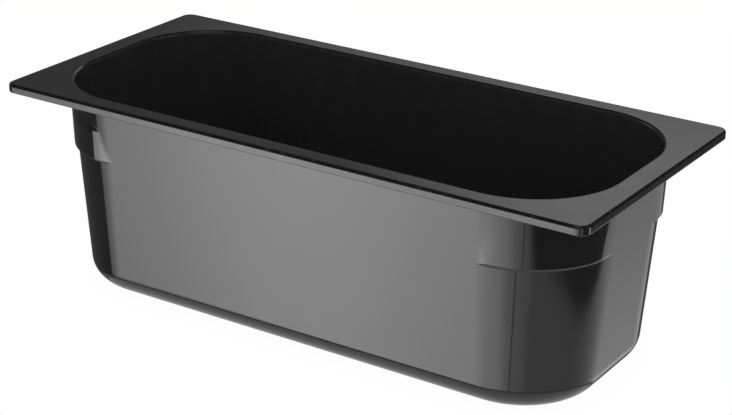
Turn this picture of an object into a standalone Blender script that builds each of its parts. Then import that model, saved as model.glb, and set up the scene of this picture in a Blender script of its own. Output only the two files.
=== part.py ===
"""Deli food pan: a deep display pan, injection moulded in one piece of black plastic.

A rounded, drafted tub hangs from a flat rim with a short turned-down lip. Each of the four
corners carries a moulded shoulder on the outside, just under the rim, on which stacked pans
rest. Metres, +Z up, the origin on the ground under the middle of the pan, +X along its length.

Every level of the tub is the same rounded rectangle, grown outwards by one number, its offset:
the outside at ground level has offset 0, and the drafted wall gains offset as it rises. So the
whole tub is one section, a list of (offset, height) steps, carried round that outline.
"""

import math

import bmesh
import bpy

MM = 0.001

# Overall size.
RIM_LENGTH = 360.0 * MM
RIM_WIDTH = 165.0 * MM
HEIGHT = 120.0 * MM

# Rim: a flat plate with rounded plan corners and a short lip turned down all round.
RIM_CORNER_RADIUS = 6.0 * MM
RIM_THICKNESS = 2.6 * MM
RIM_EDGE_RADIUS = 1.4 * MM
LIP_HEIGHT = 5.0 * MM
LIP_THICKNESS = 2.2 * MM

# Outside of the tub, where its wall would meet the ground.
BASE_HALF_LENGTH = 160.0 * MM
BASE_HALF_WIDTH = 64.6 * MM
BASE_CORNER_RADIUS = 44.0 * MM
DRAFT = math.radians(4.15)
BASE_EDGE_RADIUS = 13.5 * MM

# Inside of the tub.
WALL_THICKNESS = 3.0 * MM
FLOOR_THICKNESS = 3.0 * MM
BRIM_RADIUS = 2.6 * MM

# Foot: the rim of the base that touches the ground, round a slightly raised panel.
FOOT_WIDTH = 8.0 * MM
FOOT_RECESS = 0.6 * MM

# Corner shoulders: how far they stand out of the wall at their top and at their ledge.
SHOULDER_TOP = 0.6 * MM
SHOULDER_LEDGE = 2.0 * MM
LEDGE_DEPTH = 38.0 * MM
LEDGE_ROUNDING = 1.6 * MM
SHOULDER_RUN_IN = 10.0 * MM

# Steps used for the round stretches.
CORNER_STEPS = 12
BASE_EDGE_STEPS = 6
BRIM_STEPS = 5
RIM_EDGE_STEPS = 3
LEDGE_STEPS = 4

PAN_COLOUR = (0.010, 0.010, 0.011, 1.0)
PAN_ROUGHNESS = 0.22
SHARP_EDGE = math.radians(30.0)


def clear_scene():
    for item in list(bpy.data.objects):
        bpy.data.objects.remove(item, do_unlink=True)


def plastic(name):
    """Black moulded polycarbonate."""
    material = bpy.data.materials.new(name)
    material.use_nodes = True
    shader = material.node_tree.nodes["Principled BSDF"]
    shader.inputs["Base Color"].default_value = PAN_COLOUR
    shader.inputs["Roughness"].default_value = PAN_ROUGHNESS
    shader.inputs["Metallic"].default_value = 0.0
    return material


def rounded_rectangle(half_length, half_width, radius):
    """The outline's points anticlockwise, each with its distance along the corner's arc."""
    points = []
    signs = ((1, 1), (-1, 1), (-1, -1), (1, -1))
    for quarter, (sign_x, sign_y) in enumerate(signs):
        centre_x = sign_x * (half_length - radius)
        centre_y = sign_y * (half_width - radius)
        for step in range(CORNER_STEPS + 1):
            turn = 0.5 * math.pi * step / CORNER_STEPS
            angle = 0.5 * math.pi * quarter + turn
            from_flat = radius * min(turn, 0.5 * math.pi - turn)
            x = centre_x + radius * math.cos(angle)
            y = centre_y + radius * math.sin(angle)
            points.append((x, y, angle, from_flat))
    return points


def tub_ring(offset, height, shoulder=0.0):
    """One level of the tub. The shoulder pushes out the corners only, and fades at the flats."""
    ring = []
    outline = rounded_rectangle(
        BASE_HALF_LENGTH + offset, BASE_HALF_WIDTH + offset, BASE_CORNER_RADIUS + offset
    )
    for x, y, angle, from_flat in outline:
        push = shoulder * min(1.0, from_flat / SHOULDER_RUN_IN)
        ring.append((x + push * math.cos(angle), y + push * math.sin(angle), height))
    return ring


def rim_ring(inset, height):
    """One level of the rim's outer edge or of its lip, moved inwards by inset."""
    outline = rounded_rectangle(
        0.5 * RIM_LENGTH - inset, 0.5 * RIM_WIDTH - inset, RIM_CORNER_RADIUS - inset
    )
    return [(x, y, height) for x, y, _, _ in outline]


def wall_offset(height):
    """How far the drafted outer wall has leaned out at a height."""
    return height * math.tan(DRAFT)


def shoulder_push(height):
    """How far a corner shoulder stands out: growing down to its ledge, then rounding under."""
    depth = HEIGHT - height
    if depth <= LEDGE_DEPTH:
        return SHOULDER_TOP + (SHOULDER_LEDGE - SHOULDER_TOP) * depth / LEDGE_DEPTH
    under = min(1.0, (depth - LEDGE_DEPTH) / LEDGE_ROUNDING)
    return SHOULDER_LEDGE * math.sqrt(max(0.0, 1.0 - under * under))


def outer_wall_rings():
    """From the underside of the rim down to where the base edge's rounding starts."""
    top = HEIGHT - RIM_THICKNESS
    ledge = HEIGHT - LEDGE_DEPTH
    heights = [top, 0.5 * (top + ledge), ledge]
    for step in range(1, LEDGE_STEPS + 1):
        turn = 0.5 * math.pi * step / LEDGE_STEPS
        heights.append(ledge - LEDGE_ROUNDING * math.sin(turn))
    return [tub_ring(wall_offset(h), h, shoulder_push(h)) for h in heights]


def base_edge_rings(radius, wall_inset, floor_height):
    """The rounding between a drafted wall and a level floor, from the wall down."""
    lean = 0.5 * math.pi - DRAFT
    tangent = radius * math.tan(0.5 * lean)
    corner = wall_offset(floor_height) - wall_inset
    rings = []
    for step in range(BASE_EDGE_STEPS + 1):
        angle = lean * (1.0 - step / BASE_EDGE_STEPS)
        offset = corner - tangent + radius * math.sin(angle)
        rings.append(tub_ring(offset, floor_height + radius * (1.0 - math.cos(angle))))
    return rings


def foot_rings():
    """The step up from the foot to the raised panel inside it."""
    tangent = BASE_EDGE_RADIUS * math.tan(0.5 * (0.5 * math.pi - DRAFT))
    foot_edge = -tangent - FOOT_WIDTH
    return [tub_ring(foot_edge, 0.0), tub_ring(foot_edge - FOOT_RECESS, FOOT_RECESS)]


def brim_rings(wall_inset):
    """The rounding from the inner wall up to the flat of the rim."""
    wall_top = wall_offset(HEIGHT - BRIM_RADIUS) - wall_inset
    rings = []
    for step in range(BRIM_STEPS + 1):
        angle = 0.5 * math.pi * step / BRIM_STEPS
        offset = wall_top + BRIM_RADIUS * (1.0 - math.cos(angle))
        rings.append(tub_ring(offset, HEIGHT - BRIM_RADIUS * (1.0 - math.sin(angle))))
    return rings


def rim_edge_rings():
    """The rim's outer edge: rounded over from the flat, then straight down the lip."""
    rings = []
    for step in range(RIM_EDGE_STEPS + 1):
        angle = 0.5 * math.pi * step / RIM_EDGE_STEPS
        inset = RIM_EDGE_RADIUS * (1.0 - math.sin(angle))
        rings.append(rim_ring(inset, HEIGHT - RIM_EDGE_RADIUS * (1.0 - math.cos(angle))))
    rings.append(rim_ring(0.0, HEIGHT - LIP_HEIGHT))
    rings.append(rim_ring(LIP_THICKNESS, HEIGHT - LIP_HEIGHT))
    rings.append(rim_ring(LIP_THICKNESS, HEIGHT - RIM_THICKNESS))
    return rings


def pan_rings():
    """Every ring of the pan's skin in order: up the inside, over the rim, down the outside."""
    wall_inset = WALL_THICKNESS / math.cos(DRAFT)
    floor = FLOOR_THICKNESS + FOOT_RECESS
    inner_edge = base_edge_rings(BASE_EDGE_RADIUS - WALL_THICKNESS, wall_inset, floor)
    rings = list(reversed(inner_edge))
    rings += brim_rings(wall_inset)
    rings += rim_edge_rings()
    rings += outer_wall_rings()
    rings += base_edge_rings(BASE_EDGE_RADIUS, 0.0, 0.0)
    rings += foot_rings()
    return rings


def skin(name, rings, material):
    """One closed body: the rings joined in order, the first and the last filled flat."""
    builder = bmesh.new()
    loops = [[builder.verts.new(point) for point in ring] for ring in rings]
    count = len(loops[0])
    for lower, upper in zip(loops, loops[1:]):
        for here in range(count):
            after = (here + 1) % count
            builder.faces.new((lower[here], lower[after], upper[after], upper[here]))
    builder.faces.new(loops[0])
    builder.faces.new(loops[-1])
    bmesh.ops.recalc_face_normals(builder, faces=builder.faces)
    mesh = bpy.data.meshes.new(name)
    builder.to_mesh(mesh)
    builder.free()
    mesh.shade_smooth()
    mesh.set_sharp_from_angle(angle=SHARP_EDGE)
    mesh.materials.append(material)
    body = bpy.data.objects.new(name, mesh)
    bpy.context.scene.collection.objects.link(body)
    return body


def main():
    clear_scene()
    skin("pan_body", pan_rings(), plastic("black_plastic"))


main()
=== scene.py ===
"""Deli food pan: a deep display pan, injection moulded in one piece of gloss black plastic.

The pan is one section carried round one outline. The section runs up the inside, over the
rim and down the outside; the outline is a rounded rectangle whose corners carry shoulders.
"""

import math

import bpy
from bpy.props import FloatProperty, FloatVectorProperty, IntProperty, PointerProperty
from mathutils import Matrix, Vector


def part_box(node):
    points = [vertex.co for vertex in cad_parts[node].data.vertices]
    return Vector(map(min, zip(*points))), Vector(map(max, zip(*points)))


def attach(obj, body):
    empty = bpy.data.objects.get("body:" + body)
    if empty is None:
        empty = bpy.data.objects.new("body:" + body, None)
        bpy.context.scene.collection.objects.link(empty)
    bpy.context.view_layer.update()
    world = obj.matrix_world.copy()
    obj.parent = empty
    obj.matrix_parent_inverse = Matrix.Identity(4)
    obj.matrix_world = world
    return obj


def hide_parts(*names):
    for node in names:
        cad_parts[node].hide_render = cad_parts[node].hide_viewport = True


bl_info = {
    "name": "Deli food pan",
    "version": (1, 0, 0),
    "blender": (4, 5, 0),
    "location": "3D View > Sidebar > Food pan",
    "description": "Builds a moulded display pan and a pale studio stage for it",
    "category": "Add Mesh",
}

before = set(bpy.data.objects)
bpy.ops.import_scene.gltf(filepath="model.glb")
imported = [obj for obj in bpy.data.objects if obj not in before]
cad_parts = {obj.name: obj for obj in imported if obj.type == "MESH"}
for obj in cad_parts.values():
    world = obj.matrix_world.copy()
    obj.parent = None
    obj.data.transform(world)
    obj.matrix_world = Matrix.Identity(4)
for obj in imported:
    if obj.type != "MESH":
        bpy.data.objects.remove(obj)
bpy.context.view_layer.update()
PAN_LOW, PAN_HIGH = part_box("pan_body")
HALF_LENGTH = 0.5 * (PAN_HIGH.x - PAN_LOW.x)
HALF_WIDTH = 0.5 * (PAN_HIGH.y - PAN_LOW.y)
HEIGHT = PAN_HIGH.z - PAN_LOW.z

MM = 0.001

# Outline of the tub, where its outside would meet the ground.
BASE_HALF_LENGTH = 160.0 * MM
BASE_HALF_WIDTH = 64.6 * MM
BASE_CORNER = 44.0 * MM
TUB_SPREAD = (BASE_HALF_LENGTH - BASE_CORNER, BASE_HALF_WIDTH - BASE_CORNER, 0.0)
NO_SPREAD = (0.0, 0.0, 0.0)
NO_PUSH = (0.0, 0.0, 0.0)

# Which material a ring of the section wears.
INSIDE, RIM, OUTSIDE = 0.0, 1.0, 2.0

# Shoulders. Two diagonal corners start theirs on the long wall at a sharp upright edge, past the
# wall's tangent point; the other two start softly. All of them run out on the end wall.
SHOULDER_RADIUS = 52.3 * MM
SHOULDER_EDGE = 11.0 * MM
EDGE_TURN = math.asin(SHOULDER_EDGE / SHOULDER_RADIUS)
FULL_TURN = math.radians(38.0)
SOFT_TURN = (math.radians(1.0), math.radians(30.0))
SWELL_TURN = (math.radians(0.0), math.radians(9.0))
END_TURN = (math.radians(0.5), math.radians(24.0))

# How far a shoulder stands out, by depth under the rim's top.
CORNER_PUSH = 0.6 * MM
CORNER_GROWTH = 1.4 / 38.0
DEEPEST_PUSH = 37.0 * MM
EDGE_PUSHES = ((16.8, 0.0), (18.3, 0.30), (20.0, 0.72), (22.0, 0.88), (27.8, 1.09), (37.0, 1.42))
SWELL_PUSH = 0.40 * MM
SWELL_DEPTHS = (17.0 * MM, 38.0 * MM)

# Columns across a facet, which ends a sharp shoulder on the long wall.
FACET_COLUMNS = 13

# Small roundings and fillets of the rim.
LIP_EDGE = 0.45 * MM
LIP_FILLET = 0.6 * MM
NECK_FILLET = 0.8 * MM

# Depths of the outer wall's rings above the ledge, in millimetres, closest where the edge starts.
WALL_DEPTHS = (
    4, 7, 10, 13, 15.5, 16.8, 17.5, 17.9, 18.3, 18.8, 19.2, 19.6, 20, 20.5, 21.5,
    22.5, 24, 26, 27.8, 29.5, 31, 32.5, 34, 35, 35.7,
)


# ---------------------------------------------------------------------- node helpers


def add(tree, kind, inputs=None, **settings):
    """Adds a node, sets its options, and fills its inputs with values or links."""
    node = tree.nodes.new(kind)
    for name, value in settings.items():
        setattr(node, name, value)
    for key, value in (inputs or {}).items():
        if isinstance(value, bpy.types.NodeSocket):
            tree.links.new(value, node.inputs[key])
        else:
            node.inputs[key].default_value = value
    return node


def calc(tree, operation, first, second=0.0, third=0.0):
    """One Math node; gives its result."""
    node = add(tree, "ShaderNodeMath", {0: first, 1: second, 2: third}, operation=operation)
    return node.outputs[0]


def total(tree, *terms):
    """The sum of several values."""
    result = terms[0]
    for term in terms[1:]:
        result = calc(tree, "ADD", result, term)
    return result


def scaled(tree, vector, amount):
    """A vector times a number."""
    inputs = {0: vector, 3: amount}
    return add(tree, "ShaderNodeVectorMath", inputs, operation="SCALE").outputs[0]


def vector_sum(tree, *terms):
    """The sum of several vectors."""
    result = terms[0]
    for term in terms[1:]:
        node = add(tree, "ShaderNodeVectorMath", {0: result, 1: term}, operation="ADD")
        result = node.outputs[0]
    return result


def ease(tree, value, low, high, to_low=0.0, to_high=1.0):
    """A smooth step from to_low to to_high as value goes from low to high."""
    inputs = {"Value": value, "From Min": low, "From Max": high, "To Min": to_low, "To Max": to_high}
    node = add(tree, "ShaderNodeMapRange", inputs, interpolation_type="SMOOTHSTEP")
    return node.outputs["Result"]


def new_group(name, kind, inputs, outputs):
    """An empty node group with named sockets; gives the tree and its input and output nodes."""
    tree = bpy.data.node_groups.new(name, kind)
    for socket_name, socket_type, default in inputs:
        socket = tree.interface.new_socket(socket_name, in_out="INPUT", socket_type=socket_type)
        if default is not None:
            socket.default_value = default
    for socket_name, socket_type in outputs:
        tree.interface.new_socket(socket_name, in_out="OUTPUT", socket_type=socket_type)
    return tree, tree.nodes.new("NodeGroupInput"), tree.nodes.new("NodeGroupOutput")


def place_group(tree, group, inputs):
    """A shader group placed in a material or a world, with its own values."""
    return add(tree, "ShaderNodeGroup", inputs, node_tree=group)


def product(tree, *factors):
    """Several values multiplied together."""
    result = factors[0]
    for factor in factors[1:]:
        result = calc(tree, "MULTIPLY", result, factor)
    return result


def empty_material(name):
    """A material whose tree has no nodes yet."""
    material = bpy.data.materials.new(name)
    material.use_nodes = True
    material.node_tree.nodes.clear()
    return material


# ---------------------------------------------------------------------- the section


def wall_offset(size, height):
    """How far the drafted outer wall has leaned out at a height."""
    return height * math.tan(size.draft)


def smooth(value, low, high):
    """A smooth step from 0 to 1 as value goes from low to high."""
    share = min(1.0, max(0.0, (value - low) / (high - low)))
    return share * share * (3.0 - 2.0 * share)


def quarter(steps):
    """The angles of a quarter turn, from 0 to a right angle."""
    return [0.5 * math.pi * step / steps for step in range(steps + 1)]


def shoulder_push(depth):
    """How far a shoulder stands out at a depth: at the corner, its upright edge and its start."""
    corner = CORNER_PUSH + CORNER_GROWTH * min(depth, DEEPEST_PUSH)
    edge = 0.0
    for (low, from_push), (high, to_push) in zip(EDGE_PUSHES, EDGE_PUSHES[1:]):
        share = min(1.0, max(0.0, (depth / MM - low) / (high - low)))
        edge += share * (to_push - from_push) * MM
    swell = SWELL_PUSH * smooth(depth, *SWELL_DEPTHS)
    return corner, edge, swell


class Section:
    """The pan's section: a list of rings, each with the numbers that the tree reads."""

    def __init__(self):
        self.rings = []

    def ring(self, spread, radius, height, finish, wear=0.0, pushes=NO_PUSH):
        """A ring whose corners have their centres at spread, and a radius round them."""
        straight = 0.0 if spread == NO_SPREAD else 1.0
        self.rings.append(
            {
                "spread": spread,
                "radius": radius,
                "height": height,
                "finish": finish,
                "wear": wear,
                "push": pushes[0],
                "edge_push": pushes[1],
                "swell": pushes[2],
                "straight": straight,
            }
        )

    def tub(self, offset, height, finish, wear=0.0, pushes=NO_PUSH):
        """A ring of the tub, an offset outside the base's outline."""
        self.ring(TUB_SPREAD, BASE_CORNER + offset, height, finish, wear, pushes)


def floor_edge(size, radius, wall_inset, floor_height):
    """The rounding between a drafted wall and a level floor, from the wall down."""
    lean = 0.5 * math.pi - size.draft
    tangent = radius * math.tan(0.5 * lean)
    corner = wall_offset(size, floor_height) - wall_inset
    steps = []
    for step in range(size.round_steps + 1):
        angle = lean * (1.0 - step / size.round_steps)
        offset = corner - tangent + radius * math.sin(angle)
        steps.append((offset, floor_height + radius * (1.0 - math.cos(angle))))
    return steps


def inside_rings(section, size):
    """The floor from its middle, its rounded edge, the inner wall and the brim."""
    floor = size.floor_thickness + size.foot_recess
    inset = size.wall_thickness / math.cos(size.draft)
    for radius in (0.0, 4.0 * MM, 12.0 * MM):
        section.ring(NO_SPREAD, radius, floor, INSIDE)
    edge = floor_edge(size, size.base_radius - size.wall_thickness, inset, floor)
    for offset in (-43.0 * MM, -34.0 * MM, -24.0 * MM, -16.0 * MM):
        section.tub(offset, floor, INSIDE)
    section.tub(edge[-1][0] - 0.5 * MM, floor, INSIDE)
    for offset, height in reversed(edge):
        section.tub(offset, height, INSIDE)
    wall_top = HEIGHT - size.brim_radius
    low = edge[0][1] + 0.5 * MM
    high = wall_top - 0.5 * MM
    for step in range(11):
        height = low + (high - low) * step / 10
        section.tub(wall_offset(size, height) - inset, height, INSIDE)
    start = wall_offset(size, wall_top) - inset
    for step, angle in enumerate(quarter(8)):
        offset = start + size.brim_radius * (1.0 - math.cos(angle))
        height = wall_top + size.brim_radius * math.sin(angle)
        finish = INSIDE if step < 5 else RIM
        section.tub(offset, height, finish, wear=0.6 * math.sin(angle))
    section.tub(start + size.brim_radius + 0.4 * MM, HEIGHT, RIM)


def rim_rings(section, size):
    """The rim's flat, its rounded outer edge, the lip and the underside."""
    spread = (HALF_LENGTH - size.rim_corner, HALF_WIDTH - size.rim_corner, 0.0)

    def rim(inset, depth, wear=0.0):
        section.ring(spread, size.rim_corner - inset, HEIGHT - depth, RIM, wear)

    edge = size.rim_edge_radius
    rim(edge + 0.4 * MM, 0.0)
    for angle in quarter(8):
        rim(edge * (1.0 - math.sin(angle)), edge * (1.0 - math.cos(angle)), math.sin(2.0 * angle))
    rim(0.0, edge + 0.3 * MM)
    rim(0.0, size.lip_height - LIP_EDGE - 0.2 * MM)
    for angle in quarter(4):
        inset = LIP_EDGE * (1.0 - math.cos(angle))
        rim(inset, size.lip_height - LIP_EDGE * (1.0 - math.sin(angle)), 0.8)
    lip_inside = size.lip_thickness
    for angle in quarter(4):
        inset = lip_inside - LIP_EDGE * (1.0 - math.sin(angle))
        rim(inset, size.lip_height - LIP_EDGE * (1.0 - math.cos(angle)))
    rim(lip_inside, size.rim_thickness + LIP_FILLET + 0.2 * MM)
    for angle in quarter(4):
        inset = lip_inside + LIP_FILLET * (1.0 - math.cos(angle))
        rim(inset, size.rim_thickness + LIP_FILLET * (1.0 - math.sin(angle)))
    rim(lip_inside + LIP_FILLET + 0.4 * MM, size.rim_thickness)


def outside_rings(section, size):
    """The outer wall with its shoulders, its rounded lower edge and the foot."""

    def wall(depth, share=0.0, wear=0.0, inset=0.0):
        height = HEIGHT - depth
        pushes = tuple(share * push for push in shoulder_push(depth))
        section.tub(wall_offset(size, height) + inset, height, OUTSIDE, wear, pushes)

    top = size.rim_thickness
    neck = wall_offset(size, HEIGHT - top) + NECK_FILLET + 2.4 * MM
    section.tub(neck, HEIGHT - top, RIM, 0.0, shoulder_push(0.0))
    for angle in quarter(4):
        inset = NECK_FILLET * (1.0 - math.sin(angle))
        wall(top + NECK_FILLET * (1.0 - math.cos(angle)), 1.0, 0.0, inset)
    for depth in WALL_DEPTHS:
        wall(depth * MM, 1.0)
    ledge = size.ledge_depth - size.ledge_radius
    wall(ledge - 0.3 * MM, 1.0)
    for angle in quarter(6):
        share = 1.0 - 0.6 * (1.0 - math.cos(angle))
        wall(ledge + size.ledge_radius * math.sin(angle), share, math.sin(angle) * 0.8)
    for below, share in ((0.12, 0.2), (0.25, 0.07), (0.45, 0.015), (0.7, 0.0), (1.2, 0.0)):
        wall(size.ledge_depth + below * MM, share)
    edge = floor_edge(size, size.base_radius, 0.0, 0.0)
    low = HEIGHT - edge[0][1] - 0.5 * MM
    for step in range(1, 11):
        wall(size.ledge_depth + (low - size.ledge_depth) * step / 10)
    for offset, height in edge:
        section.tub(offset, height, OUTSIDE)
    foot = edge[-1][0] - size.foot_width
    section.tub(edge[-1][0] - 0.4 * MM, 0.0, OUTSIDE, 0.7)
    section.tub(edge[-1][0] - 0.5 * size.foot_width, 0.0, OUTSIDE, 1.0)
    rise = size.foot_recess
    section.tub(foot + 0.3 * MM, 0.0, OUTSIDE, 0.7)
    section.tub(foot + 0.05 * MM, 0.06 * MM, OUTSIDE, 0.5)
    section.tub(foot - rise, rise - 0.06 * MM, OUTSIDE)
    section.tub(foot - rise - 0.3 * MM, rise, OUTSIDE)


def gate_rings(section, size):
    """The raised panel under the base, and the moulding gate's dimple in its middle."""
    panel = size.foot_recess
    for offset in (-34.0 * MM, -39.0 * MM, -43.0 * MM):
        section.tub(offset, panel, OUTSIDE)
    dimple = size.gate_radius
    for radius, rise in ((1.2, 0.0), (1.03, 0.0), (0.99, 0.05), (0.93, 0.36), (0.88, 0.4)):
        section.ring(NO_SPREAD, radius * dimple, panel + rise * MM, OUTSIDE)
    for radius, rise in ((0.26, 0.4), (0.21, 0.36), (0.19, 0.1), (0.15, 0.04), (0.0, 0.04)):
        section.ring(NO_SPREAD, radius * dimple, panel + rise * MM, OUTSIDE)


def section_object(size):
    """The whole section as a polyline whose points carry the rings' numbers."""
    section = Section()
    inside_rings(section, size)
    rim_rings(section, size)
    outside_rings(section, size)
    gate_rings(section, size)
    rings = section.rings
    points = [(r["radius"] + r["spread"][0], 0.0, r["height"]) for r in rings]
    return polyline("pan_section", points, rings, closed=False)


# ---------------------------------------------------------------------- the outline


def corner_columns(size):
    """One corner from the end wall round to the long wall: (turn, slide) of each point."""
    right = 0.5 * math.pi
    beside_edge = math.radians(0.35)
    columns = [(0.0, -1.0 * MM), (0.0, 0.0)]
    start = math.radians(1.2)
    stop = right - EDGE_TURN - beside_edge
    for step in range(size.corner_steps + 1):
        columns.append((start + (stop - start) * step / size.corner_steps, 0.0))
    columns.append((right - EDGE_TURN, 0.0))
    columns.append((right - EDGE_TURN + beside_edge, 0.0))
    for step in range(1, FACET_COLUMNS + 1):
        share = step / FACET_COLUMNS
        columns.append((right - EDGE_TURN * (1.0 - share) * 0.97, 0.0))
    columns += [(right, slide * MM) for slide in (0.8, 1.7, 2.8, 4.2)]
    return columns


def outline_object(size):
    """The closed outline, whose points carry where each column of the pan stands."""
    columns = []
    points = []
    right = 0.5 * math.pi
    quarters = ((1, 1, False), (-1, 1, True), (-1, -1, False), (1, -1, True))
    for sign_x, sign_y, backwards in quarters:
        corner = corner_columns(size)
        if backwards:
            corner.reverse()
        for turn, slide in corner:
            to_long = right - turn
            outward = (sign_x * math.cos(turn), sign_y * math.sin(turn), 0.0)
            along = (-sign_x * math.sin(turn) * slide, sign_y * math.cos(turn) * slide, 0.0)
            past = 1.0 if to_long >= EDGE_TURN - 1e-6 else 0.0
            end_fade = smooth(turn, *END_TURN)
            if sign_x == sign_y:
                fade = smooth(to_long, EDGE_TURN, FULL_TURN)
                shares = (past * fade, past * (1.0 - fade), 0.0)
                facet = 1.0 - past
            else:
                fade = smooth(to_long, *SOFT_TURN)
                shares = (fade, 0.0, (1.0 - fade) * smooth(to_long, *SWELL_TURN))
                facet = 0.0
            from_edge = SHOULDER_EDGE - SHOULDER_RADIUS * math.sin(to_long) + max(0.0, slide)
            columns.append(
                {
                    "corner": (sign_x, sign_y, 0.0),
                    "outward": outward,
                    "along": along,
                    "across": (0.0, sign_y, 0.0),
                    "push_share": shares[0] * end_fade,
                    "edge_share": shares[1] * end_fade,
                    "swell_share": shares[2] * end_fade,
                    "facet": facet,
                    "from_edge": from_edge,
                    "sag": SHOULDER_RADIUS * (1.0 - math.cos(to_long)),
                }
            )
            x = sign_x * TUB_SPREAD[0] + outward[0] * BASE_CORNER + along[0]
            y = sign_y * TUB_SPREAD[1] + outward[1] * BASE_CORNER + along[1]
            points.append((x, y, 0.0))
    return polyline("pan_shell", points, columns, closed=True)


def polyline(name, points, rows, closed):
    """A mesh of joined points; every key of the rows becomes a point attribute."""
    count = len(points)
    edges = [(i, (i + 1) % count) for i in range(count if closed else count - 1)]
    mesh = bpy.data.meshes.new(name)
    mesh.from_pydata(points, edges, [])
    for key, sample in rows[0].items():
        is_vector = isinstance(sample, tuple)
        kind = "FLOAT_VECTOR" if is_vector else "FLOAT"
        attribute = mesh.attributes.new(key, kind, "POINT")
        if is_vector:
            attribute.data.foreach_set("vector", [n for row in rows for n in row[key]])
        else:
            attribute.data.foreach_set("value", [row[key] for row in rows])
    piece = bpy.data.objects.new(name, mesh)
    bpy.context.scene.collection.objects.link(piece)
    return piece


# ---------------------------------------------------------------------- the shell's tree


def sampler(tree, geometry, index):
    """A function that reads a named attribute of geometry at an index."""

    def read(name, kind="FLOAT"):
        attribute = add(tree, "GeometryNodeInputNamedAttribute", {"Name": name}, data_type=kind)
        inputs = {"Geometry": geometry, "Value": attribute.outputs["Attribute"], "Index": index}
        settings = {"data_type": kind, "domain": "POINT"}
        return add(tree, "GeometryNodeSampleIndex", inputs, **settings).outputs["Value"]

    return read


def stored(tree, geometry, name, value):
    """Geometry with a value kept on its points under a name."""
    inputs = {"Geometry": geometry, "Name": name, "Value": value}
    node = add(tree, "GeometryNodeStoreNamedAttribute", inputs, data_type="FLOAT", domain="POINT")
    return node.outputs["Geometry"]


def shell_tree():
    """Carries the section round the outline: every ring and column by one rule."""
    inputs = [
        ("Outline", "NodeSocketGeometry", None),
        ("Section", "NodeSocketObject", None),
        ("Edge height", "NodeSocketFloat", 1.17 * MM),
        ("Facet rise", "NodeSocketFloat", 0.030),
        ("Facet crown", "NodeSocketFloat", 4.5),
        ("Valley", "NodeSocketFloat", 0.22 * MM),
        ("Inside", "NodeSocketMaterial", None),
        ("Rim", "NodeSocketMaterial", None),
        ("Outside", "NodeSocketMaterial", None),
    ]
    tree, given, result = new_group(
        "section_round_outline", "GeometryNodeTree", inputs, [("Geometry", "NodeSocketGeometry")]
    )
    outline = given.outputs["Outline"]
    section = add(tree, "GeometryNodeObjectInfo", {"Object": given.outputs["Section"]})
    section = section.outputs["Geometry"]
    columns = add(tree, "GeometryNodeAttributeDomainSize", {"Geometry": outline})
    rings = add(tree, "GeometryNodeAttributeDomainSize", {"Geometry": section})
    per_ring = calc(tree, "ADD", columns.outputs["Point Count"], 1.0)
    counts = {"Vertices X": rings.outputs["Point Count"], "Vertices Y": per_ring}
    grid = add(tree, "GeometryNodeMeshGrid", counts)
    index = tree.nodes.new("GeometryNodeInputIndex").outputs["Index"]
    ring = calc(tree, "FLOOR", calc(tree, "DIVIDE", calc(tree, "ADD", index, 0.5), per_ring))
    place = calc(tree, "SUBTRACT", index, calc(tree, "MULTIPLY", ring, per_ring))
    column = calc(tree, "MODULO", place, columns.outputs["Point Count"])
    of_ring = sampler(tree, section, ring)
    of_column = sampler(tree, outline, column)

    edge_push = of_ring("edge_push")
    radius = total(
        tree,
        of_ring("radius"),
        product(tree, of_ring("push"), of_column("push_share")),
        product(tree, edge_push, of_column("edge_share")),
        product(tree, of_ring("swell"), of_column("swell_share")),
    )

    # The facet that ends a sharp shoulder on the long wall: a crowned face that sinks into the
    # wall. The cosine carries a push along the corner's radius over to the wall's own direction.
    away = of_column("from_edge")
    crown = product(tree, away, away, given.outputs["Facet crown"])
    rise = product(tree, away, given.outputs["Facet rise"])
    push_across = product(tree, edge_push, round(math.cos(EDGE_TURN), 3))
    facet = calc(tree, "SUBTRACT", push_across, given.outputs["Edge height"])
    facet = total(tree, facet, rise, of_column("sag"))
    facet = calc(tree, "SUBTRACT", facet, crown)
    facet = calc(tree, "SMOOTH_MAX", facet, 0.0, given.outputs["Valley"])
    present = ease(tree, edge_push, 0.0, 0.3 * MM)
    facet = product(tree, facet, product(tree, present, of_column("facet")))

    spread = add(
        tree,
        "ShaderNodeVectorMath",
        {0: of_column("corner", "FLOAT_VECTOR"), 1: of_ring("spread", "FLOAT_VECTOR")},
        operation="MULTIPLY",
    ).outputs[0]
    level = add(tree, "ShaderNodeCombineXYZ", {"Z": of_ring("height")}).outputs[0]
    position = vector_sum(
        tree,
        spread,
        scaled(tree, of_column("outward", "FLOAT_VECTOR"), radius),
        scaled(tree, of_column("along", "FLOAT_VECTOR"), of_ring("straight")),
        scaled(tree, of_column("across", "FLOAT_VECTOR"), facet),
        level,
    )
    mesh = stored(tree, grid.outputs["Mesh"], "finish", of_ring("finish"))
    mesh = stored(tree, mesh, "edge_wear", of_ring("wear"))
    mesh = add(tree, "GeometryNodeSetPosition", {"Geometry": mesh, "Position": position})
    merge = {"Geometry": mesh.outputs["Geometry"], "Distance": 1e-6}
    mesh = add(tree, "GeometryNodeMergeByDistance", merge)
    mesh = add(tree, "GeometryNodeSetShadeSmooth", {"Geometry": mesh.outputs["Geometry"]})
    mesh = add(tree, "GeometryNodeRealizeInstances", {"Geometry": mesh.outputs["Geometry"]})
    mesh = mesh.outputs["Geometry"]
    named = add(tree, "GeometryNodeInputNamedAttribute", {"Name": "finish"}, data_type="FLOAT")
    for material, above in (("Inside", -1.0), ("Rim", 0.25), ("Outside", 1.75)):
        chosen = calc(tree, "GREATER_THAN", named.outputs["Attribute"], above)
        inputs = {"Geometry": mesh, "Selection": chosen, "Material": given.outputs[material]}
        mesh = add(tree, "GeometryNodeSetMaterial", inputs).outputs["Geometry"]
    tree.links.new(mesh, result.inputs["Geometry"])
    return tree


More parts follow.
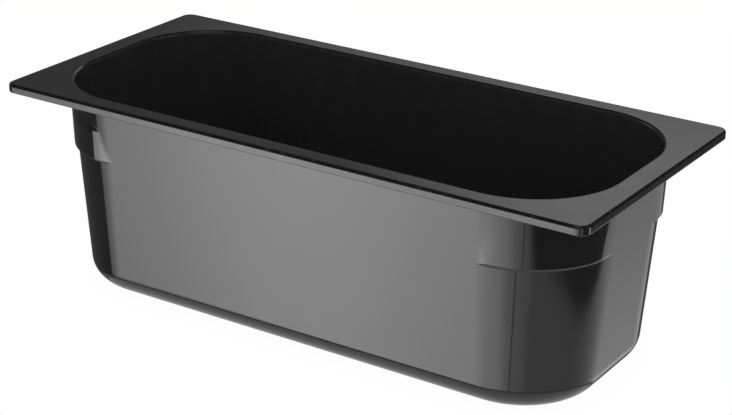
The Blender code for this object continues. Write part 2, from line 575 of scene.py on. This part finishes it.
def made_plain(piece):
    """Turns a piece's modifier result into its plain mesh."""
    depsgraph = bpy.context.evaluated_depsgraph_get()
    source = piece.evaluated_get(depsgraph)
    mesh = bpy.data.meshes.new_from_object(source, depsgraph=depsgraph)
    piece.modifiers.clear()
    piece.data = mesh
    mesh.name = piece.name


# ---------------------------------------------------------------------- materials


def grain_group():
    """Fine moulding texture and the slow waviness of a cooled wall, as heights."""
    inputs = [
        ("Position", "NodeSocketVector", None),
        ("Grain size", "NodeSocketFloat", 0.0006),
        ("Waviness", "NodeSocketFloat", 0.3),
    ]
    outputs = [("Height", "NodeSocketFloat"), ("Mottle", "NodeSocketFloat")]
    tree, given, result = new_group("moulding_grain", "ShaderNodeTree", inputs, outputs)
    scale = calc(tree, "DIVIDE", 1.0, given.outputs["Grain size"])
    position = given.outputs["Position"]
    fine = add(tree, "ShaderNodeTexNoise", {"Vector": position, "Scale": scale, "Detail": 2.0})
    slow = add(tree, "ShaderNodeTexNoise", {"Vector": position, "Scale": 14.0, "Detail": 1.0})
    wave = calc(tree, "MULTIPLY", slow.outputs[0], given.outputs["Waviness"])
    tree.links.new(calc(tree, "ADD", fine.outputs[0], wave), result.inputs["Height"])
    mottle = add(tree, "ShaderNodeTexNoise", {"Vector": position, "Scale": 70.0, "Detail": 4.0})
    tree.links.new(ease(tree, mottle.outputs[0], 0.35, 0.7), result.inputs["Mottle"])
    return tree


def scratch_layer(tree, position, turn, stretch, width):
    """Long thin scratches that run one way, as a mask."""
    inputs = {"Vector": position, "Rotation": turn, "Scale": stretch}
    mapping = add(tree, "ShaderNodeMapping", inputs)
    noise = add(tree, "ShaderNodeTexNoise", {"Vector": mapping.outputs[0], "Scale": 1.0, "Detail": 1.0})
    distance = calc(tree, "ABSOLUTE", calc(tree, "SUBTRACT", noise.outputs[0], 0.5))
    return ease(tree, distance, 0.0, width, 1.0, 0.0)


def marks_group():
    """Scratches and smudges left by handling, as masks."""
    inputs = [("Position", "NodeSocketVector", None), ("Amount", "NodeSocketFloat", 0.5)]
    outputs = [("Scratches", "NodeSocketFloat"), ("Smudges", "NodeSocketFloat")]
    tree, given, result = new_group("handling_marks", "ShaderNodeTree", inputs, outputs)
    position = given.outputs["Position"]
    first = scratch_layer(tree, position, (0.3, 0.2, 0.5), (16.0, 900.0, 700.0), 0.006)
    second = scratch_layer(tree, position, (-0.5, 0.9, -0.4), (1100.0, 22.0, 600.0), 0.005)
    patches = add(tree, "ShaderNodeTexNoise", {"Vector": position, "Scale": 28.0, "Detail": 2.0})
    where = ease(tree, patches.outputs[0], 0.52, 0.68)
    lines = product(tree, calc(tree, "MAXIMUM", first, second), where, given.outputs["Amount"])
    tree.links.new(lines, result.inputs["Scratches"])
    cloud = add(
        tree,
        "ShaderNodeTexNoise",
        {"Vector": position, "Scale": 17.0, "Detail": 5.0, "Roughness": 0.62, "Distortion": 0.6},
    )
    smudge = ease(tree, cloud.outputs[0], 0.48, 0.72)
    tree.links.new(product(tree, smudge, given.outputs["Amount"]), result.inputs["Smudges"])
    return tree


def wear_group():
    """Broken, rubbed patches along the edges, as a mask."""
    inputs = [
        ("Position", "NodeSocketVector", None),
        ("Edge", "NodeSocketFloat", 0.0),
        ("Amount", "NodeSocketFloat", 0.5),
    ]
    tree, given, result = new_group("edge_wear", "ShaderNodeTree", inputs, [("Wear", "NodeSocketFloat")])
    noise = add(
        tree,
        "ShaderNodeTexNoise",
        {"Vector": given.outputs["Position"], "Scale": 240.0, "Detail": 4.0, "Roughness": 0.7},
    )
    broken = ease(tree, noise.outputs[0], 0.5, 0.75)
    rubbed = product(tree, broken, given.outputs["Edge"], given.outputs["Amount"])
    tree.links.new(rubbed, result.inputs["Wear"])
    return tree


def dust_group():
    """Specks of dust that settle on faces that look up, as a mask."""
    inputs = [
        ("Position", "NodeSocketVector", None),
        ("Normal", "NodeSocketVector", None),
        ("Amount", "NodeSocketFloat", 0.5),
    ]
    tree, given, result = new_group("dust_specks", "ShaderNodeTree", inputs, [("Dust", "NodeSocketFloat")])
    position = given.outputs["Position"]
    cells = add(tree, "ShaderNodeTexVoronoi", {"Vector": position, "Scale": 420.0}, feature="F1")
    speck = ease(tree, cells.outputs["Distance"], 0.05, 0.16, 1.0, 0.0)
    patches = add(tree, "ShaderNodeTexNoise", {"Vector": position, "Scale": 90.0})
    where = ease(tree, patches.outputs[0], 0.55, 0.7)
    upward = add(tree, "ShaderNodeSeparateXYZ", {0: given.outputs["Normal"]}).outputs["Z"]
    lying = ease(tree, upward, -0.2, 0.9, 0.15, 1.0)
    dust = product(tree, speck, where, lying, given.outputs["Amount"])
    tree.links.new(dust, result.inputs["Dust"])
    return tree


# Colour of dust and rubbed plastic, how much darker the mottling is, and the plastic's index.
PALE = (0.11, 0.11, 0.108, 1.0)
MOTTLE_SHADE = 0.86
PLASTIC_IOR = 1.58


def plastic(name, groups, colour, finish):
    """Moulded black plastic. finish holds this surface's gloss, grain, marks and wear."""
    material = empty_material(name)
    tree = material.node_tree
    position = tree.nodes.new("ShaderNodeTexCoord").outputs["Object"]
    normal = tree.nodes.new("ShaderNodeNewGeometry").outputs["Normal"]
    edge = add(tree, "ShaderNodeAttribute", attribute_name="edge_wear").outputs["Fac"]
    inputs = {"Position": position, "Grain size": finish["grain"], "Waviness": finish["waviness"]}
    grain = place_group(tree, groups["grain"], inputs)
    inputs = {"Position": position, "Amount": finish["marks"]}
    marks = place_group(tree, groups["marks"], inputs)
    inputs = {"Position": position, "Edge": edge, "Amount": finish["wear"]}
    wear = place_group(tree, groups["wear"], inputs).outputs["Wear"]
    inputs = {"Position": position, "Normal": normal, "Amount": finish["dust"]}
    dust = place_group(tree, groups["dust"], inputs).outputs["Dust"]
    scratches = marks.outputs["Scratches"]
    mottle = grain.outputs["Mottle"]

    pale = total(tree, product(tree, wear, 0.5), dust, product(tree, scratches, 0.25))
    colours = {"Factor": pale, 6: (*colour, 1.0), 7: PALE}
    mixed = add(tree, "ShaderNodeMix", colours, data_type="RGBA").outputs[2]
    shade = tuple(MOTTLE_SHADE * part for part in colour) + (1.0,)
    colours = {"Factor": product(tree, mottle, 0.5), 6: mixed, 7: shade}
    deep = add(tree, "ShaderNodeMix", colours, data_type="RGBA").outputs[2]
    rough = total(
        tree,
        product(tree, marks.outputs["Smudges"], 0.10),
        product(tree, scratches, 0.25),
        product(tree, wear, 0.30),
        product(tree, dust, 0.4),
        product(tree, mottle, finish["mottle"]),
        finish["roughness"],
    )
    height = calc(tree, "SUBTRACT", grain.outputs["Height"], product(tree, scratches, 0.5))
    inputs = {"Height": height, "Distance": finish["depth"], "Strength": finish["strength"]}
    bump = add(tree, "ShaderNodeBump", inputs).outputs[0]
    inputs = {"Base Color": deep, "Roughness": rough, "Normal": bump, "IOR": PLASTIC_IOR}
    shader = add(tree, "ShaderNodeBsdfPrincipled", inputs)
    add(tree, "ShaderNodeOutputMaterial", {"Surface": shader.outputs[0]})
    return material


FINISHES = {
    "pan_inside": {
        "roughness": 0.16, "mottle": 0.05, "grain": 0.0007, "waviness": 0.4,
        "depth": 0.00004, "strength": 0.25, "marks": 0.5, "wear": 0.3, "dust": 0.10,
    },
    "pan_rim": {
        "roughness": 0.07, "mottle": 0.03, "grain": 0.0006, "waviness": 0.4,
        "depth": 0.00003, "strength": 0.20, "marks": 0.45, "wear": 0.5, "dust": 0.16,
    },
    "pan_outside": {
        "roughness": 0.035, "mottle": 0.02, "grain": 0.0006, "waviness": 0.5,
        "depth": 0.00003, "strength": 0.12, "marks": 0.35, "wear": 0.5, "dust": 0.10,
    },
}


# ---------------------------------------------------------------------- stage


def soft_box_group():
    """How strongly a softened rectangle of light shows in a direction given in degrees."""
    inputs = [
        ("Azimuth", "NodeSocketFloat", 0.0),
        ("Elevation", "NodeSocketFloat", 0.0),
        ("Middle", "NodeSocketFloat", 0.0),
        ("Half width", "NodeSocketFloat", 10.0),
        ("Side blur", "NodeSocketFloat", 3.0),
        ("Bottom", "NodeSocketFloat", 0.0),
        ("Top", "NodeSocketFloat", 30.0),
        ("End blur", "NodeSocketFloat", 3.0),
        ("Strength", "NodeSocketFloat", 1.0),
    ]
    tree, given, result = new_group("soft_box", "ShaderNodeTree", inputs, [("Light", "NodeSocketFloat")])
    turned = calc(tree, "SUBTRACT", given.outputs["Azimuth"], given.outputs["Middle"])
    turned = calc(tree, "WRAP", turned, 180.0, -180.0)
    past_side = calc(tree, "SUBTRACT", calc(tree, "ABSOLUTE", turned), given.outputs["Half width"])
    blur = given.outputs["Side blur"]
    sides = ease(tree, past_side, product(tree, blur, -1.0), blur, 1.0, 0.0)
    blur = given.outputs["End blur"]
    minus = product(tree, blur, -1.0)
    over = calc(tree, "SUBTRACT", given.outputs["Elevation"], given.outputs["Bottom"])
    under = calc(tree, "SUBTRACT", given.outputs["Top"], given.outputs["Elevation"])
    ends = product(tree, ease(tree, over, minus, blur), ease(tree, under, minus, blur))
    light = product(tree, sides, ends, given.outputs["Strength"])
    tree.links.new(light, result.inputs["Light"])
    return tree


# Light by direction, in degrees. The table's glow round the pan: (azimuth, brightness).
TABLE_GLOW = (
    (-180.0, 0.10), (-151.0, 0.10), (-149.6, 0.85), (-145.0, 1.0), (-139.0, 1.6), (-133.0, 2.3),
    (-131.0, 2.95), (-129.0, 3.55), (-127.0, 3.85), (-125.0, 3.72), (-121.0, 3.15), (-111.0, 2.7),
    (-98.0, 2.2), (-90.0, 2.0), (-80.0, 1.3), (-70.0, 1.05), (-60.0, 0.9), (-50.0, 0.62),
    (-20.0, 0.57), (10.0, 0.5), (30.0, 0.57), (46.0, 0.72), (60.0, 0.88), (84.0, 0.98),
    (87.5, 0.6), (90.5, 0.12),
)
GLOW_TOP = 4.0
GLOW_ENDS = (-20.8, -13.5)

# The glow brightens upwards by this much per degree from a middle elevation: in front, at the side.
KEY_TILT, KEY_MIDDLE, KEY_RANGE = 0.035, -31.0, (-36.0, -27.0)
SIDE_TILT, SIDE_MIDDLE = -0.055, -29.0

# A thin dark gap between two lights: its azimuth less its elevation, half width and depth.
GAP_PLACE, GAP_WIDTH, GAP_LEFT = -38.5, (0.5, 1.3), 0.32

# The table's far edge on the right: flat, then rising as the cube of the azimuth past its start.
HORIZON, HORIZON_RISE = -32.05, 9.2
HORIZON_START, HORIZON_SPAN = -10.0, 76.0
ROOM_GLOW = 0.10

# The pan's own shade under it, with a darker seam where it starts.
SHADE_TOP = (-38.0, -36.2)
SEAM_MIDDLE, SEAM_WIDTH, SEAM_LEFT = -39.5, (0.5, 3.5), 0.35

# What a matt surface receives from all round.
MATT_LIGHT = 0.9

# Soft boxes: middle, half width, side blur, bottom, top, end blur, strength.
BOX_INPUTS = ("Middle", "Half width", "Side blur", "Bottom", "Top", "End blur", "Strength")
SOFT_BOXES = (
    (128.0, 22.0, 5.0, 12.0, 27.0, 2.0, 0.10),
    (110.0, 17.0, 4.0, 16.4, 19.8, 1.1, 0.25),
    (105.0, 15.5, 4.5, 19.8, 31.0, 1.6, 0.66),
    (-52.0, 22.0, 6.0, 14.0, 34.0, 4.0, 0.65),
    (182.0, 14.0, 5.0, 16.0, 32.0, 4.0, 0.65),
    (8.0, 16.0, 5.0, 14.0, 32.0, 4.0, 0.65),
    (41.0, 12.0, 4.0, -23.9, -12.0, 0.8, 1.6),
    (-44.0, 11.0, 4.0, -23.9, -12.0, 0.8, 0.9),
)

# The floor lies this far under the foot, so that the two never share a face.
FLOOR_GAP = 0.2 * MM


def table_glow(tree, azimuth, elevation):
    """The lit table round the pan, tilted in brightness and crossed by a thin gap."""
    fraction = calc(tree, "MULTIPLY_ADD", azimuth, 1.0 / 360.0, 0.5)
    ramp = add(tree, "ShaderNodeValToRGB", {"Fac": fraction})
    ramp.color_ramp.interpolation = "LINEAR"
    stops = ramp.color_ramp.elements
    while len(stops) > 1:
        stops.remove(stops[-1])
    for number, (angle, brightness) in enumerate(TABLE_GLOW):
        place = (angle + 180.0) / 360.0
        stop = stops[0] if number == 0 else stops.new(place)
        stop.position = place
        stop.color = (brightness / GLOW_TOP,) * 3 + (1.0,)

    level = calc(tree, "MINIMUM", elevation, KEY_RANGE[1])
    level = calc(tree, "MAXIMUM", level, KEY_RANGE[0])
    key_tilt = product(tree, calc(tree, "SUBTRACT", level, KEY_MIDDLE), KEY_TILT)
    side_tilt = product(tree, calc(tree, "SUBTRACT", elevation, SIDE_MIDDLE), SIDE_TILT)
    tilt = total(
        tree,
        1.0,
        product(tree, ease(tree, azimuth, -110.0, -95.0, 1.0, 0.0), key_tilt),
        product(tree, ease(tree, azimuth, 50.0, 64.0), side_tilt),
    )
    from_gap = calc(tree, "SUBTRACT", azimuth, calc(tree, "ADD", elevation, GAP_PLACE))
    gap = ease(tree, calc(tree, "ABSOLUTE", from_gap), *GAP_WIDTH, GAP_LEFT, 1.0)
    top = ease(tree, elevation, *GLOW_ENDS, 1.0, 0.0)
    return product(tree, ramp.outputs["Color"], GLOW_TOP, top, tilt, gap)


def room_share(tree, azimuth, elevation):
    """Where the dark room shows above the table's far edge on the right."""
    start = -HORIZON_START / HORIZON_SPAN
    past = calc(tree, "MULTIPLY_ADD", azimuth, 1.0 / HORIZON_SPAN, start)
    past = calc(tree, "MAXIMUM", past, 0.0)
    rise = calc(tree, "POWER", past, 3.0)
    horizon = calc(tree, "MULTIPLY_ADD", rise, HORIZON_RISE, HORIZON)
    far_edge = ease(tree, azimuth, 60.0, 71.0, -25.0, -21.6)
    above = calc(tree, "SUBTRACT", elevation, calc(tree, "MINIMUM", horizon, far_edge))

    # The room's near edge leans: the higher up, the sooner it starts.
    lean = calc(tree, "MULTIPLY_ADD", calc(tree, "MINIMUM", elevation, -24.0), 4.0, 106.0)
    started = ease(tree, calc(tree, "ADD", azimuth, lean), -70.0, -46.0)
    return product(tree, ease(tree, above, -0.9, 0.9), started)


def under_shade(tree, elevation):
    """The table in the pan's own shade, right under it."""
    shade = ease(tree, elevation, -75.0, -40.0, 0.9, 0.75)
    from_seam = calc(tree, "ABSOLUTE", calc(tree, "SUBTRACT", elevation, SEAM_MIDDLE))
    return product(tree, shade, ease(tree, from_seam, *SEAM_WIDTH, SEAM_LEFT, 1.0))


def studio_world():
    """White to the camera; to the pan, a dark room with a lit table and soft boxes."""
    world = bpy.data.worlds.new("studio")
    world.use_nodes = True
    tree = world.node_tree
    tree.nodes.clear()
    direction = tree.nodes.new("ShaderNodeTexCoord").outputs["Generated"]
    parts = add(tree, "ShaderNodeSeparateXYZ", {0: direction}).outputs
    degrees = 180.0 / math.pi
    azimuth = product(tree, calc(tree, "ARCTAN2", parts["Y"], parts["X"]), degrees)
    elevation = product(tree, calc(tree, "ARCSINE", parts["Z"]), degrees)

    glow = table_glow(tree, azimuth, elevation)
    room = room_share(tree, azimuth, elevation)
    glow = product(tree, glow, ease(tree, room, 0.0, 1.0, 1.0, ROOM_GLOW))
    below = ease(tree, elevation, *SHADE_TOP, 1.0, 0.0)
    light = total(
        tree,
        product(tree, glow, calc(tree, "SUBTRACT", 1.0, below)),
        product(tree, under_shade(tree, elevation), below),
        ease(tree, elevation, -22.0, 15.0, 0.0, 0.04),
    )
    light = calc(tree, "MAXIMUM", light, ease(tree, elevation, -20.0, 10.0, 0.10, 0.04))
    group = soft_box_group()
    for box in SOFT_BOXES:
        inputs = {"Azimuth": azimuth, "Elevation": elevation, **dict(zip(BOX_INPUTS, box))}
        light = calc(tree, "ADD", light, place_group(tree, group, inputs).outputs["Light"])

    path = tree.nodes.new("ShaderNodeLightPath").outputs
    for ray, seen in (("Is Diffuse Ray", MATT_LIGHT), ("Is Camera Ray", 1.0)):
        inputs = {"Factor": path[ray], 2: light, 3: seen}
        light = add(tree, "ShaderNodeMix", inputs, data_type="FLOAT").outputs[0]
    background = add(tree, "ShaderNodeBackground", {"Color": light})
    add(tree, "ShaderNodeOutputWorld", {"Surface": background.outputs[0]})
    return world


def floor_material():
    """A white floor with a faint contact shade, seen from above only.

    Behind the pan one patch of it glows, seen only by glossy rays: painted light that the pan's gloss
    mirrors. Elsewhere the gloss sees the room.
    """
    material = empty_material("pale_floor")
    tree = material.node_tree
    contact = add(tree, "ShaderNodeAmbientOcclusion", {"Distance": 0.03}, samples=8)
    brightness = ease(tree, contact.outputs["AO"], 0.2, 0.9, 0.98, 1.0)
    white = add(tree, "ShaderNodeEmission", {"Color": brightness})
    clear = tree.nodes.new("ShaderNodeBsdfTransparent")

    position = tree.nodes.new("ShaderNodeTexCoord").outputs["Object"]
    parts = add(tree, "ShaderNodeSeparateXYZ", {0: position}).outputs
    # Where the floor glows behind the pan: painted light, seen only in the pan's reflections.
    lit = product(
        tree,
        ease(tree, parts["X"], -0.12, 0.02, 1.0, 0.0),
        ease(tree, parts["X"], -0.32, -0.24),
        ease(tree, parts["Y"], 0.085, 0.12),
        ease(tree, parts["Y"], 0.45, 1.1, 1.0, 0.0),
    )
    # The painted glow's strength, brighter further behind the pan.
    strength = ease(tree, parts["Y"], 0.1, 0.6, 2.0, 3.2)
    painted_glow_inputs = {"Color": (1.0, 1.0, 1.0, 1.0), "Strength": strength}
    table = add(tree, "ShaderNodeEmission", painted_glow_inputs)
    path = tree.nodes.new("ShaderNodeLightPath").outputs
    mirrored = product(tree, lit, path["Is Glossy Ray"])
    inputs = {0: mirrored, 1: clear.outputs[0], 2: table.outputs[0]}
    under = add(tree, "ShaderNodeMixShader", inputs)
    surface = tree.nodes.new("ShaderNodeNewGeometry")
    above = calc(tree, "SUBTRACT", 1.0, surface.outputs["Backfacing"])
    seen = product(tree, path["Is Camera Ray"], above)
    mix = add(tree, "ShaderNodeMixShader", {0: seen, 1: under.outputs[0], 2: white.outputs[0]})
    add(tree, "ShaderNodeOutputMaterial", {"Surface": mix.outputs[0]})
    return material


# ---------------------------------------------------------------------- settings


class PanSizes(bpy.types.PropertyGroup):
    """Sizes of the moulding."""

    draft: FloatProperty(
        name="Draft", description="Lean of the walls", default=math.radians(4.15), subtype="ANGLE"
    )
    base_radius: FloatProperty(
        name="Base edge", description="Rounding under the outer wall", default=13.5 * MM, unit="LENGTH"
    )
    wall_thickness: FloatProperty(
        name="Wall", description="Thickness of the wall", default=3.0 * MM, unit="LENGTH"
    )
    floor_thickness: FloatProperty(
        name="Floor", description="Thickness of the floor", default=3.0 * MM, unit="LENGTH"
    )
    foot_recess: FloatProperty(
        name="Foot recess", description="Rise of the panel inside the foot", default=0.6 * MM, unit="LENGTH"
    )
    foot_width: FloatProperty(
        name="Foot width", description="Width of the foot", default=8.0 * MM, unit="LENGTH"
    )
    brim_radius: FloatProperty(
        name="Brim", description="Rounding from the inner wall to the rim", default=2.0 * MM, unit="LENGTH"
    )
    rim_corner: FloatProperty(
        name="Rim corner", description="Radius of the rim in plan", default=6.0 * MM, unit="LENGTH"
    )
    rim_thickness: FloatProperty(
        name="Rim", description="Thickness of the rim's plate", default=2.6 * MM, unit="LENGTH"
    )
    rim_edge_radius: FloatProperty(
        name="Rim edge", description="Rounding of the rim's outer edge", default=1.4 * MM, unit="LENGTH"
    )
    lip_height: FloatProperty(
        name="Lip height", description="How far the lip turns down", default=5.0 * MM, unit="LENGTH"
    )
    lip_thickness: FloatProperty(
        name="Lip", description="Thickness of the lip", default=2.2 * MM, unit="LENGTH"
    )
    ledge_depth: FloatProperty(
        name="Ledge", description="Depth of the shoulders' undersides", default=38.1 * MM, unit="LENGTH"
    )
    ledge_radius: FloatProperty(
        name="Ledge edge", description="Rounding of each ledge", default=1.2 * MM, unit="LENGTH"
    )
    gate_radius: FloatProperty(
        name="Gate", description="Radius of the dimple below", default=7.0 * MM, unit="LENGTH"
    )
    corner_steps: IntProperty(name="Corner steps", description="Columns in each corner", default=48)
    round_steps: IntProperty(name="Round steps", description="Rings in each floor edge", default=16)


class PanColours(bpy.types.PropertyGroup):
    """Colours of the plastic. The inside is the same plastic as the outside, but its colour is lighter:
    painted light that lifts the inside, which the walls shade.
    """

    gloss: FloatVectorProperty(
        name="Gloss",
        description="Colour of the polished outside and rim",
        default=(0.0068, 0.0067, 0.0069),
        size=3,
        subtype="COLOR",
    )
    # Same plastic as the gloss; the lighter colour is painted light that brightens the shaded inside of the
    # pan.
    inside: FloatVectorProperty(
        name="Inside",
        description="Colour of the satin inside",
        default=(0.0205, 0.0203, 0.0206),
        size=3,
        subtype="COLOR",
    )


class StageSettings(bpy.types.PropertyGroup):
    """The camera's place and lens."""

    eye: FloatVectorProperty(
        name="Camera",
        description="Where the camera stands",
        default=(0.5429, -0.8314, 0.4705),
        size=3,
        unit="LENGTH",
    )
    azimuth: FloatProperty(
        name="Azimuth", description="Turn of the view", default=0.573390225, subtype="ANGLE"
    )
    elevation: FloatProperty(
        name="Elevation", description="Height of the view", default=0.391890638, subtype="ANGLE"
    )
    roll: FloatProperty(
        name="Roll", description="Lean of the camera", default=0.0139660101, subtype="ANGLE"
    )
    lens: FloatProperty(name="Lens", description="Focal length in millimetres", default=95.81)
    floor_half: FloatProperty(
        name="Floor", description="Half the floor's width", default=12.0, unit="LENGTH"
    )


# ---------------------------------------------------------------------- operators


class PAN_OT_shell(bpy.types.Operator):
    """Builds the moulded pan"""

    bl_idname = "food_pan.shell"
    bl_label = "Build pan"

    def execute(self, context):
        size = context.scene.pan_sizes
        colours = context.scene.pan_colours
        groups = {
            "grain": grain_group(),
            "marks": marks_group(),
            "wear": wear_group(),
            "dust": dust_group(),
        }
        section = section_object(size)
        values = {
            "Section": section,
            # The inside wears the lighter colour: painted light for its shaded hollow.
            "Inside": plastic("pan_inside", groups, tuple(colours.inside), FINISHES["pan_inside"]),
            "Rim": plastic("pan_rim", groups, tuple(colours.gloss), FINISHES["pan_rim"]),
            "Outside": plastic("pan_outside", groups, tuple(colours.gloss), FINISHES["pan_outside"]),
        }
        shell = outline_object(size)
        tree = shell_tree()
        modifier = shell.modifiers.new("section_round_outline", "NODES")
        modifier.node_group = tree
        for item in tree.interface.items_tree:
            if item.in_out == "INPUT" and item.name in values:
                modifier[item.identifier] = values[item.name]
        shell.update_tag()
        context.view_layer.update()
        made_plain(shell)
        bpy.data.objects.remove(section)
        if not shell.data.polygons:
            raise RuntimeError("the pan's tree gave no faces")
        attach(shell, "root")
        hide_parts("pan_body")
        return {"FINISHED"}


def add_floor(scene, half):
    """A square floor, just under the foot."""
    mesh = bpy.data.meshes.new("floor")
    low = -FLOOR_GAP
    corners = [(-half, -half, low), (half, -half, low), (half, half, low), (-half, half, low)]
    mesh.from_pydata(corners, [], [(0, 1, 2, 3)])
    mesh.materials.append(floor_material())
    floor = bpy.data.objects.new("floor", mesh)
    scene.collection.objects.link(floor)


def add_overhead(scene):
    """A soft box straight above the pan."""
    light = bpy.data.lights.new("overhead_soft_box", "AREA")
    light.shape = "SQUARE"
    light.size = 0.7
    light.energy = 1.1
    lamp = bpy.data.objects.new("overhead_soft_box", light)
    lamp.location = (0.0, 0.0, 1.9)
    scene.collection.objects.link(lamp)


def add_camera(scene, settings):
    """The camera, turned by its azimuth, elevation and roll."""
    azimuth, elevation, lean = settings.azimuth, settings.elevation, settings.roll
    level = math.cos(elevation)
    back = Vector((math.sin(azimuth) * level, -math.cos(azimuth) * level, math.sin(elevation)))
    right = Vector((math.cos(azimuth), math.sin(azimuth), 0.0))
    upright = back.cross(right)
    turned_right = math.cos(lean) * right + math.sin(lean) * upright
    turned_up = math.cos(lean) * upright - math.sin(lean) * right
    camera = bpy.data.cameras.new("camera")
    camera.sensor_width = 36.0
    camera.lens = settings.lens
    camera.clip_start = 0.01
    camera.clip_end = 100.0
    eye = bpy.data.objects.new("camera", camera)
    turn = Matrix((turned_right, turned_up, back)).transposed().to_4x4()
    eye.matrix_world = Matrix.Translation(Vector(settings.eye)) @ turn
    scene.collection.objects.link(eye)
    scene.camera = eye


class PAN_OT_stage(bpy.types.Operator):
    """Builds the floor, the light and the camera"""

    bl_idname = "food_pan.stage"
    bl_label = "Build stage"

    def execute(self, context):
        scene = context.scene
        add_floor(scene, scene.pan_stage.floor_half)
        scene.world = studio_world()
        add_overhead(scene)
        add_camera(scene, scene.pan_stage)
        scene.view_settings.view_transform = "Standard"
        return {"FINISHED"}


class PAN_PT_panel(bpy.types.Panel):
    """Lists what can be built"""

    bl_idname = "PAN_PT_panel"
    bl_label = "Food pan"
    bl_space_type = "VIEW_3D"
    bl_region_type = "UI"
    bl_category = "Food pan"

    def draw(self, context):
        for operator in (PAN_OT_shell, PAN_OT_stage):
            self.layout.operator(operator.bl_idname)
        for group in (context.scene.pan_sizes, context.scene.pan_colours, context.scene.pan_stage):
            box = self.layout.box()
            for name in group.__annotations__:
                box.prop(group, name)


CLASSES = (PanSizes, PanColours, StageSettings, PAN_OT_shell, PAN_OT_stage, PAN_PT_panel)


def register():
    for item in CLASSES:
        bpy.utils.register_class(item)
    bpy.types.Scene.pan_sizes = PointerProperty(type=PanSizes)
    bpy.types.Scene.pan_colours = PointerProperty(type=PanColours)
    bpy.types.Scene.pan_stage = PointerProperty(type=StageSettings)


def unregister():
    del bpy.types.Scene.pan_stage
    del bpy.types.Scene.pan_colours
    del bpy.types.Scene.pan_sizes
    for item in reversed(CLASSES):
        bpy.utils.unregister_class(item)


def main():
    register()
    bpy.ops.food_pan.stage()
    bpy.ops.food_pan.shell()


if __name__ == "__main__":
    main()
